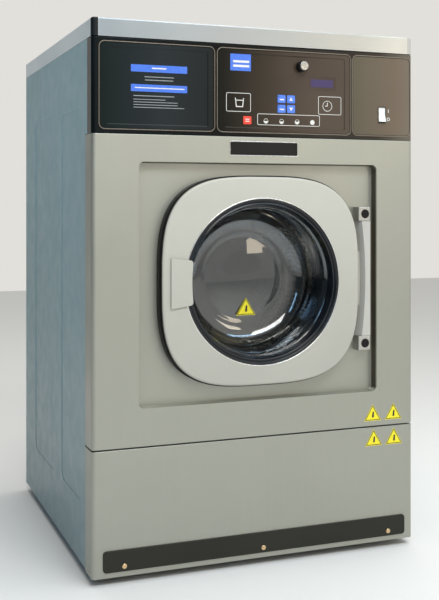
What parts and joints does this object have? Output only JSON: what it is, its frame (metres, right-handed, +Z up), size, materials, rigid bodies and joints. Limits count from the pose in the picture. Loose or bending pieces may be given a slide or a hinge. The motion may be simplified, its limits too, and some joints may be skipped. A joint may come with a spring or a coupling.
{
  "type": "front-loading washer-extractor",
  "caption": "Free-standing front-loading washer-extractor with a round glass door in a recessed panel, a dark control console, a sprung tub and a belt-driven perforated drum.",
  "frame": {"origin": "on the floor under the middle of the machine's bounding box", "axes": "+Z up, +X to the right as seen from the front, the front with the door faces -Y"},
  "size_m": [0.686, 0.746, 1.062],
  "materials": {
    "brushed_steel_front": "satin brushed",
    "painted_side": "satin blue-grey",
    "painted_frame": "matt",
    "galvanised": "galvanised",
    "black_plastic": "fine texture",
    "console_plastic": "semi-gloss",
    "dark_anodised": "black anodised",
    "door_grey": "satin",
    "black_rubber": "matt",
    "clear_glass": "polished",
    "stainless": "polished",
    "cast_grey": "cast",
    "steel_pin": "ground",
    "brass_screw": "bright",
    "blue_key": "gloss",
    "red_key": "gloss",
    "white_rocker": "gloss",
    "display_lens": "tinted",
    "motor_aluminium": "cast",
    "grey_plastic": "matt",
    "white_plastic": "matt"
  },
  "bodies": {
    "cabinet": {"chassis_frame": "painted_frame", "levelling_feet": "galvanised", "side_panel_left": "painted_side", "side_panel_right": "painted_side", "rear_panel": "galvanised", "top_lid": "brushed_steel_front", "lid_corner_trims": "black_plastic", "front_panel": "brushed_steel_front", "lower_front_panel": "brushed_steel_front", "kick_plate": "dark_anodised", "kick_screws": "brass_screw", "console_fascia": "console_plastic", "control_panel": "console_plastic", "power_panel": "console_plastic", "badge_plate": "black_plastic", "display_window": "display_lens", "button_bezel": "black_plastic", "hinge_blocks": "stainless", "hinge_pins": "steel_pin", "door_lock": "black_plastic", "dispenser_housing": "grey_plastic", "damper_bodies": "painted_frame", "drain_valve": "black_plastic", "inlet_valves": "white_plastic", "cable_gland": "black_plastic", "electronics_boxes": "galvanised"},
    "door": {"door_frame": "door_grey", "door_back_plate": "black_plastic", "door_ring": "black_rubber", "door_glass": "clear_glass", "hinge_leaf": "stainless"},
    "door_handle": {"handle_plate": "door_grey", "latch_hook": "steel_pin"},
    "drawer": {"dispenser_drawer": "white_plastic", "dispenser_front": "console_plastic"},
    "select_key_upper": {"select_key_upper": "blue_key"},
    "select_key_lower": {"select_key_lower": "blue_key"},
    "up_key": {"up_key": "blue_key"},
    "down_key": {"down_key": "blue_key"},
    "stop_key": {"stop_key": "red_key"},
    "start_button": {"start_button": "stainless"},
    "rocker": {"rocker": "white_rocker"},
    "tub": {"tub_shell": "stainless", "tub_front": "stainless", "counterweights": "cast_grey", "damper_rods": "steel_pin", "bearing_housing": "cast_grey", "drum_bearings": "steel_pin", "shaft_seal": "black_rubber", "motor": "motor_aluminium", "drive_belt": "black_rubber", "suspension_springs": "steel_pin", "door_gasket": "black_rubber", "drain_hose": "black_rubber"},
    "drum": {"drum_shell": "stainless", "drum_lifters": "stainless", "drum_spider": "motor_aluminium", "drum_shaft": "steel_pin", "drum_pulley": "cast_grey"},
    "motor_rotor": {"motor_pulley": "steel_pin"}
  },
  "joints": [
    {"name": "door_hinge", "type": "hinge", "parent": "cabinet", "child": "door", "pos_m": [0.234, -0.351, 0.5605], "axis": [0, 0, 1], "range_deg": [0, 120]},
    {"name": "handle_pull", "type": "hinge", "parent": "door", "child": "door_handle", "pos_m": [-0.19, -0.3595, 0.5628], "axis": [0, 0, -1], "range_deg": [0, 20], "stiffness_Nm_per_rad": 1.2, "springref_deg": -8.59},
    {"name": "drawer_slide", "type": "slide", "parent": "cabinet", "child": "drawer", "axis": [0, -1, 0], "range_m": [0, 0.16]},
    {"name": "select_key_upper_press", "type": "slide", "parent": "cabinet", "child": "select_key_upper", "axis": [0, 1, 0], "range_m": [0, 0.0008], "stiffness_N_per_m": 1500, "springref_m": -0.0006},
    {"name": "select_key_lower_press", "type": "slide", "parent": "cabinet", "child": "select_key_lower", "axis": [0, 1, 0], "range_m": [0, 0.0008], "stiffness_N_per_m": 1500, "springref_m": -0.0006},
    {"name": "up_key_press", "type": "slide", "parent": "cabinet", "child": "up_key", "axis": [0, 1, 0], "range_m": [0, 0.0008], "stiffness_N_per_m": 1500, "springref_m": -0.0006},
    {"name": "down_key_press", "type": "slide", "parent": "cabinet", "child": "down_key", "axis": [0, 1, 0], "range_m": [0, 0.0008], "stiffness_N_per_m": 1500, "springref_m": -0.0006},
    {"name": "stop_key_press", "type": "slide", "parent": "cabinet", "child": "stop_key", "axis": [0, 1, 0], "range_m": [0, 0.0008], "stiffness_N_per_m": 1500, "springref_m": -0.0006},
    {"name": "start_button_press", "type": "slide", "parent": "cabinet", "child": "start_button", "axis": [0, 1, 0], "range_m": [0, 0.004], "stiffness_N_per_m": 800, "springref_m": -0.002},
    {"name": "rocker_tilt", "type": "hinge", "parent": "cabinet", "child": "rocker", "pos_m": [0.271, -0.351, 0.8974], "axis": [1, 0, 0], "range_deg": [0, 16]},
    {"name": "tub_bounce", "type": "slide", "parent": "cabinet", "child": "tub", "axis": [0, 0, 1], "range_m": [-0.008, 0.008], "stiffness_N_per_m": 40000, "springref_m": 0.02705, "deforming": ["suspension_springs", "drain_hose", "door_gasket"]},
    {"name": "drum_spin", "type": "hinge", "parent": "tub", "child": "drum", "pos_m": [0, -0.057, 0.5605], "axis": [0, 1, 0], "continuous": true},
    {"name": "motor_spin", "type": "hinge", "parent": "tub", "child": "motor_rotor", "pos_m": [0, 0.143, 0.168], "axis": [0, 1, 0], "continuous": true}
  ],
  "couplings": [
    {"joint": "motor_spin", "follows": "drum_spin", "ratio": 4.375}
  ]
}
